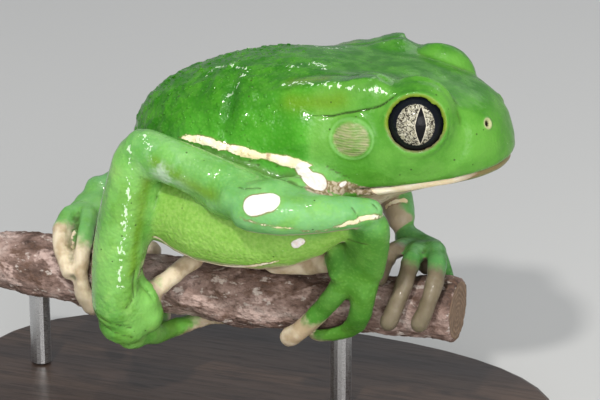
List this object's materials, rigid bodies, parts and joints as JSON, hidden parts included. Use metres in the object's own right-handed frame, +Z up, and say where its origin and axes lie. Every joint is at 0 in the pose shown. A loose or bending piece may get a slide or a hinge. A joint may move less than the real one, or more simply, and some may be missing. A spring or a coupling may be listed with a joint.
{
  "type": "waxy monkey tree frog model",
  "caption": "Life-size tree frog gripping a short cut branch, held on two rods above a flat oval base.",
  "frame": {"origin": "centre of the display base's underside", "axes": "+X along the branch towards the frog's snout, +Y towards the frog's left, +Z up"},
  "size_m": [0.088, 0.054, 0.0563],
  "materials": {
    "green_skin": "waxy leaf green skin",
    "leg_skin": "grained yellow green skin",
    "digit_skin": "green skin that turns cream on the digits",
    "eye": "wet clear eye with a silver iris",
    "ear_drum": "thin tan green skin",
    "bark": "rough grey brown bark",
    "stand_finish": "hardwood stained nearly black, with a satin coat",
    "rod_steel": "brushed"
  },
  "bodies": {
    "root": {"head": "green_skin", "lower_jaw": "green_skin", "torso": "green_skin", "eye_right": "eye", "eye_left": "eye", "tympanum_right": "ear_drum", "tympanum_left": "ear_drum", "upper_arm_right": "green_skin", "upper_arm_left": "green_skin", "forearm_right": "green_skin", "forearm_left": "green_skin", "hand_right": "digit_skin", "hand_left": "digit_skin", "thigh_right": "leg_skin", "thigh_left": "leg_skin", "shank_right": "green_skin", "shank_left": "green_skin", "tarsus_right": "green_skin", "tarsus_left": "green_skin", "foot_right": "digit_skin", "foot_left": "digit_skin", "perch_branch": "bark", "stand_base": "stand_finish", "stand_rod_front": "rod_steel", "stand_rod_rear": "rod_steel"}
  },
  "joints": []
}
